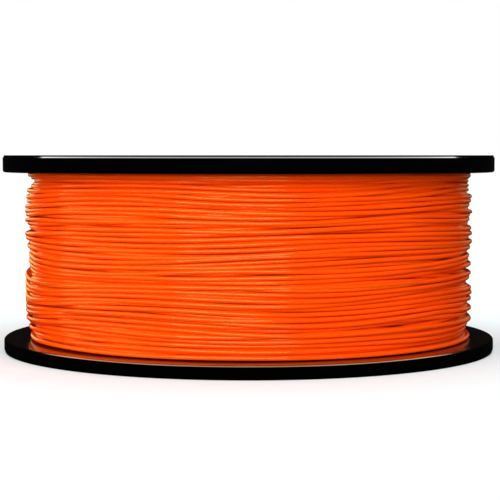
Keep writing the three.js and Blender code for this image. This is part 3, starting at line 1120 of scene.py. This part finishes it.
def build_floor():
    """A white floor for the camera, which gives back little light to the spool and its reflections."""
    size = FLOOR_SIZE
    corners = [(-size, -size, 0), (size, -size, 0), (size, size, 0), (-size, size, 0)]
    mesh = make_mesh("floor", corners, [[0, 1, 2, 3]])
    floor = make_object("floor", mesh)
    material, tree, shader = new_material("pale_floor")
    seen, mirrored = camera_and_mirror(tree)
    shade = math_node(tree, "MULTIPLY_ADD", seen, FLOOR_WHITE - FLOOR_BOUNCE, FLOOR_BOUNCE)
    shade = math_node(tree, "MULTIPLY_ADD", mirrored, -FLOOR_BOUNCE, shade)
    tree.links.new(colour_between(tree, shade, (0.0, FLOOR_DARKEST), (1.0, FLOOR_TINT)),
                   shader.inputs["Base Color"])
    set_shader(shader, Roughness=0.9, Specular_IOR_Level=0.0)
    mesh.materials.append(material)
    return floor


def add_softbox(name, azimuth, elevation, distance, width, height, radiance, colour):
    """A rectangular light aimed at the middle of the spool; azimuth 0 is the camera's side."""
    data = bpy.data.lights.new(name, "AREA")
    data.shape = "RECTANGLE"
    data.size = width
    data.size_y = height
    data.energy = radiance * width * height * math.pi
    data.color = colour
    lamp = bpy.data.objects.new(name, data)
    around = math.radians(azimuth)
    up = math.radians(elevation)
    target = Vector((0, 0, OVERALL_HEIGHT / 2 * MM))
    offset = Vector((math.sin(around) * math.cos(up), -math.cos(around) * math.cos(up), math.sin(up)))
    lamp.location = target + offset * distance
    lamp.rotation_euler = (-offset).to_track_quat("-Z", "Y").to_euler()
    bpy.context.scene.collection.objects.link(lamp)
    return lamp


def add_floor_light():
    """A soft sun for the floor."""
    data = bpy.data.lights.new("floor_light", "SUN")
    data.energy = FLOOR_LIGHT
    data.angle = math.radians(60)
    lamp = bpy.data.objects.new("floor_light", data)
    lamp.rotation_euler = (math.radians(30), 0, 0)
    bpy.context.scene.collection.objects.link(lamp)
    return lamp


def light_only(lamp, pieces):
    """Limits a light to some pieces, as a flag beside a lamp does in a studio."""
    receivers = bpy.data.collections.new(f"{lamp.name}_receivers")
    for piece in pieces:
        receivers.objects.link(piece)
    lamp.light_linking.receiver_collection = receivers


def build_world():
    """A white surround as the camera sees it, dimmer as light, and dark in reflections."""
    world = bpy.data.worlds.new("studio")
    world.use_nodes = True
    tree = world.node_tree
    seen, mirrored = camera_and_mirror(tree)
    strength = math_node(tree, "MULTIPLY_ADD", seen, 1.0 - SURROUND_LIGHT, SURROUND_LIGHT)
    strength = math_node(tree, "MULTIPLY_ADD", mirrored, SURROUND_GLOSS - SURROUND_LIGHT, strength)
    background = tree.nodes["Background"]
    background.inputs["Color"].default_value = (1, 1, 1, 1)
    tree.links.new(strength, background.inputs["Strength"])
    bpy.context.scene.world = world


def build_lights(flanges, screws, winding, floor):
    """Warm panels round the filament, panels above for the shine on the rest, and a sun for the floor."""
    lower_flange, upper_flange = flanges
    # Azimuth, elevation, distance, width, height, radiance and colour.
    panels = [
        add_softbox("front_softbox", -9, 14, 1.4, 1.43, 1.0, 6.2, (1, 0.92, 0.32)),
        add_softbox("left_softbox", -74, 16, 1.6, 2.2, 1.1, 2.0, (1, 0.9, 0.3)),
        add_softbox("back_left_strip", -150, 12, 1.3, 0.5, 0.9, 1.8, (1, 0.64, 0.22)),
        add_softbox("back_right_strip", 150, 12, 1.3, 0.5, 0.9, 0.4, (1, 0.64, 0.25)),
    ]
    for panel in panels:
        light_only(panel, winding)
    white = (1, 1, 1)
    overhead = [
        ("top_softbox", 7.0, white, [upper_flange]),
        ("rim_softbox", 10.0, (1, 0.55, 0.3), [lower_flange]),
        ("screw_softbox", 1.5, white, screws),
    ]
    for name, radiance, colour, pieces in overhead:
        lamp = add_softbox(name, 0, 88, 1.0, 2.4, 2.4, radiance, colour)
        lamp.visible_diffuse = False
        light_only(lamp, pieces)
    light_only(add_floor_light(), [floor])


def dress_node(node, material):
    """Gives a CAD node that stays in sight its material."""
    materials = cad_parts[node].data.materials
    materials.clear()
    materials.append(material)


# ---- The scene ----

bpy.context.scene.view_settings.view_transform = "Standard"
build_camera()
floor = build_floor()
build_world()

black = black_material()
core = core_material()
orange = filament_material()
flanges = build_flanges(black)
screws = build_screws(steel_material())
build_sleeve(core)
build_label(paper_material())
winding = build_layers(orange)
build_end_turns(orange)
build_inner_turns(orange)
dress_node("hub_barrel", core)
dress_node("filament_inner_end", orange)
build_lights(flanges, screws, winding, floor)
